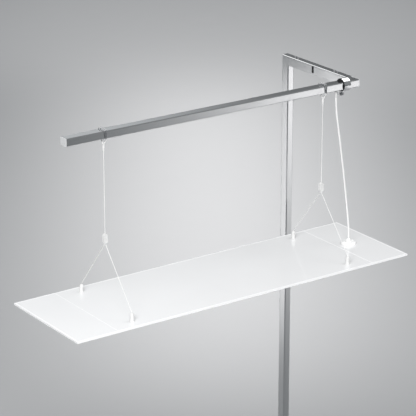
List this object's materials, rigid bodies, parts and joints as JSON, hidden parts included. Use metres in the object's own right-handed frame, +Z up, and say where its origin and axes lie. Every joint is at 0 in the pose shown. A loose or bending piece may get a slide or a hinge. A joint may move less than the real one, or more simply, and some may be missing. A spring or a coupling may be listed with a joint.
{
  "type": "hanging light panel stand",
  "caption": "Floor-fixed square-tube post with a side arm and a long boom that carries a thin rectangular lighting panel on height-adjustable cords.",
  "frame": {"origin": "middle of the floor flange's underside, on the post's axis", "axes": "+Z up along the post; +X along the boom towards the post; +Y from the boom back to the post"},
  "size_m": [1.527, 0.7205, 2.0118],
  "materials": {
    "steel_polished": "polished stainless steel tube and plate",
    "steel_plain": "plain steel inside the arm",
    "screw_dark": "dark screw steel",
    "screw_bright": "bright plated screw",
    "knob_metal": "plated knob",
    "cap_grey": "satin end cap",
    "wire_steel": "bright stainless wire",
    "plastic_black": "black moulding",
    "plastic_black_gloss": "black glossy rocker",
    "plastic_grey": "grey cable gland",
    "plastic_white": "white moulding",
    "driver_case": "white driver case, hidden in the boom",
    "cord_white": "white braided cord",
    "power_cord_white": "white sheathed flex",
    "panel_rail": "gloss white edge rail",
    "panel_cover": "gloss white sheet",
    "reflector_film": "white film",
    "light_guide": "clear acrylic, packed as opaque",
    "diffuser": "opal sheet",
    "led_strip": "strip of small lamps on a white board"
  },
  "bodies": {
    "stand": {"floor_flange": "steel_polished", "post_tube": "steel_polished", "foot_trim": "steel_polished", "mains_gland": "plastic_grey", "mains_gland_nut": "plastic_grey", "arm_tube": "steel_polished", "arm_end_plate": "steel_polished", "arm_screws": "screw_dark", "arm_nut_bars": "steel_plain", "end_block": "steel_polished", "end_block_cap": "steel_polished", "collar_sleeve": "steel_polished", "clamp_boss": "steel_polished", "switch_housing": "plastic_black", "rocker_pin": "steel_plain"},
    "rocker": {"switch_rocker": "plastic_black_gloss"},
    "clamp": {"clamp_knob": "knob_metal", "clamp_screw": "screw_dark"},
    "boom": {"boom_tube": "steel_polished", "boom_end_cap": "cap_grey", "collar_bush": "plastic_black", "led_driver": "driver_case", "cord_outlet": "plastic_white", "left_sling": "wire_steel", "right_sling": "wire_steel", "left_ferrule": "plastic_white", "right_ferrule": "plastic_white"},
    "cords": {"left_cord": "cord_white", "right_cord": "cord_white", "power_cord": "power_cord_white"},
    "panel": {"left_adjuster": "plastic_white", "left_front_leg": "cord_white", "left_front_stud": "plastic_white", "left_back_leg": "cord_white", "left_back_stud": "plastic_white", "right_adjuster": "plastic_white", "right_front_leg": "cord_white", "right_front_stud": "plastic_white", "right_back_leg": "cord_white", "right_back_stud": "plastic_white", "panel_rail_front": "panel_rail", "panel_rail_back": "panel_rail", "panel_rail_left": "panel_rail", "panel_rail_right": "panel_rail", "panel_left_cover": "panel_cover", "panel_right_cover": "panel_cover", "panel_main_cover": "panel_cover", "reflector_sheet": "reflector_film", "light_guide": "light_guide", "diffuser_sheet": "diffuser", "led_strip_front": "led_strip", "led_strip_back": "led_strip", "power_housing": "plastic_white", "power_gland": "plastic_white", "housing_screws": "screw_bright"}
  },
  "joints": [
    {"name": "boom_turn", "type": "hinge", "parent": "stand", "child": "boom", "pos_m": [-0.045, -0.412, 1.985], "axis": [1, 0, 0], "range_deg": [-6, 6]},
    {"name": "clamp_turn", "type": "hinge", "parent": "stand", "child": "clamp", "pos_m": [-0.053, -0.412, 1.948], "axis": [0, 0, 1], "range_deg": [-180, 180]},
    {"name": "switch_rock", "type": "hinge", "parent": "stand", "child": "rocker", "pos_m": [-0.0134, -0.1805, 1.987], "axis": [0, 1, 0], "range_deg": [-11, 0]},
    {"name": "cords_swing", "type": "hinge", "parent": "boom", "child": "cords", "pos_m": [-0.6445, -0.412, 1.92], "axis": [1, 0, 0], "range_deg": [-6, 6]},
    {"name": "panel_height", "type": "slide", "parent": "cords", "child": "panel", "axis": [0, 0, 1], "range_m": [0, 0.12], "deforming": ["power_cord"]}
  ]
}
